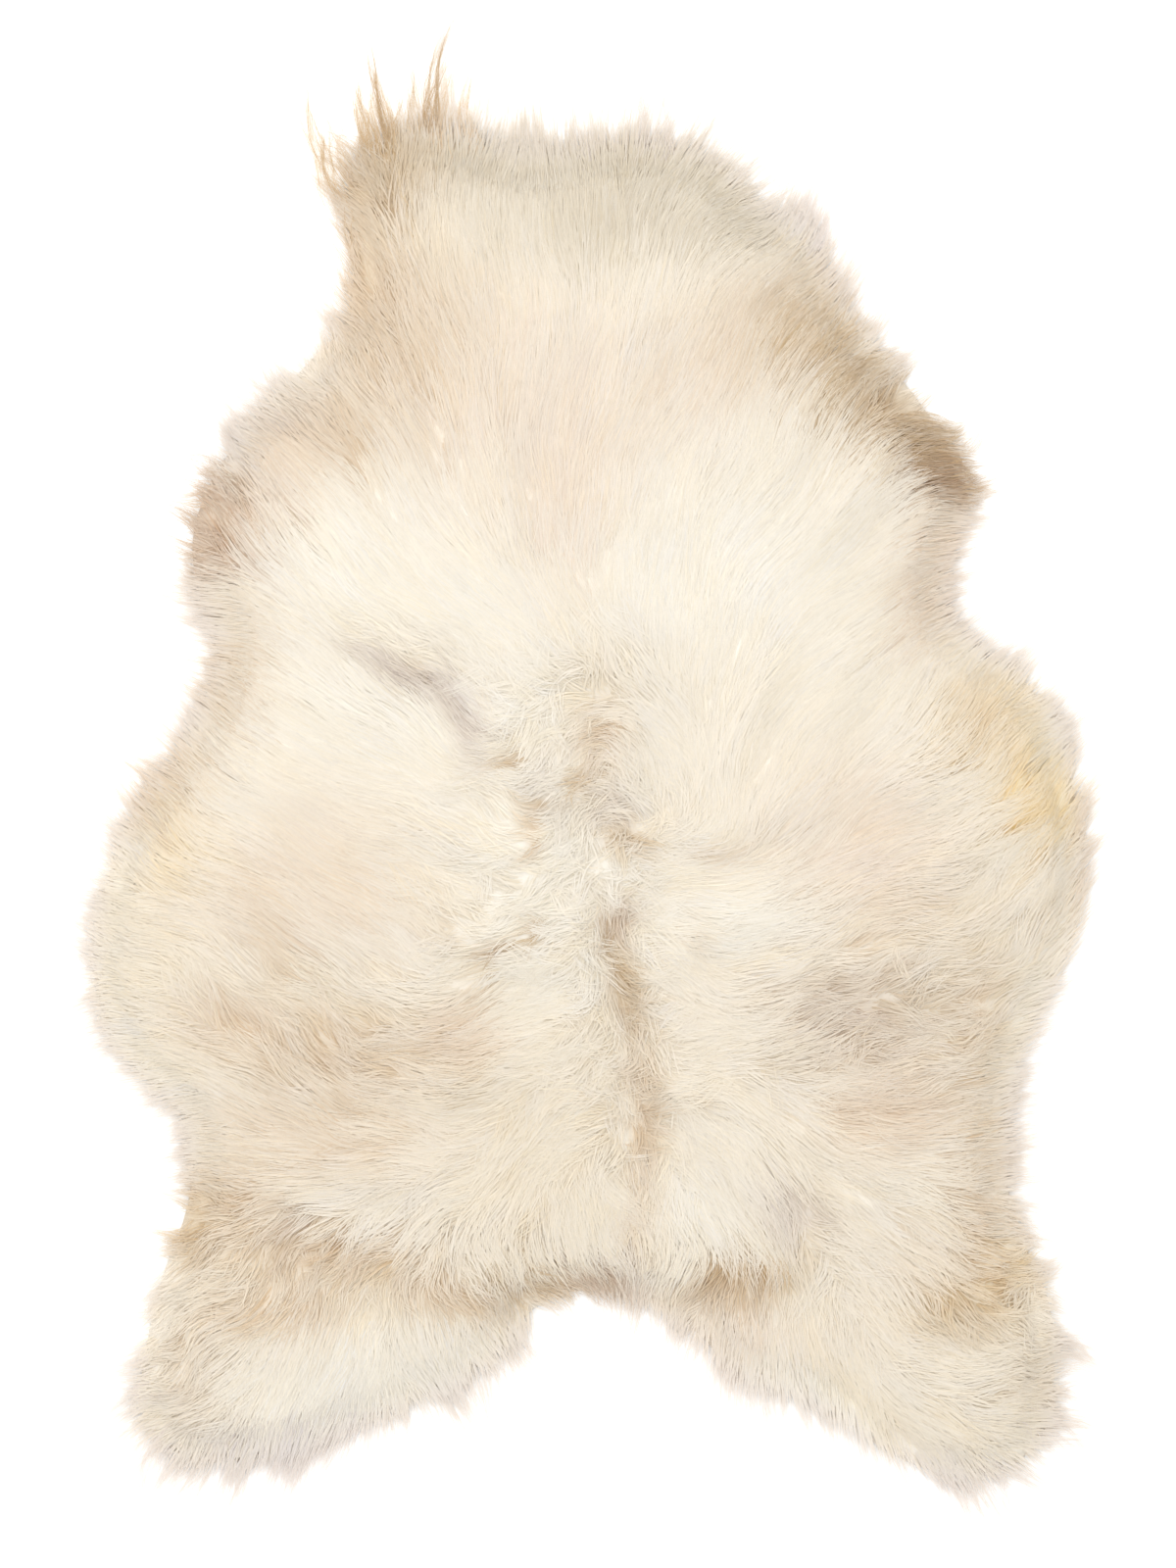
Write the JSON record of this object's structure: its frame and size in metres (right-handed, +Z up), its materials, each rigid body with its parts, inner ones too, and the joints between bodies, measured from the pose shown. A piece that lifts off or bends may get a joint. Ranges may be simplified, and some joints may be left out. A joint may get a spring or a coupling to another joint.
{
  "type": "sheepskin rug",
  "caption": "Long-wool sheepskin rug in its natural pelt outline, lying flat with the wool combed outward from the spine and soft locks all round the edge.",
  "frame": {"origin": "on the floor under the middle of the rug's bounding box", "axes": "+Z up out of the wool, +Y towards the neck, +X towards the animal's right side as seen from above"},
  "size_m": [0.8476, 1.2104, 0.0654],
  "materials": {
    "wool": "long silky undyed wool, cream white with beige, tan and pale yellow areas",
    "hide": "matt suede side of the tanned pelt, off-white"
  },
  "bodies": {
    "root": {"sheepskin": "wool"}
  },
  "joints": []
}
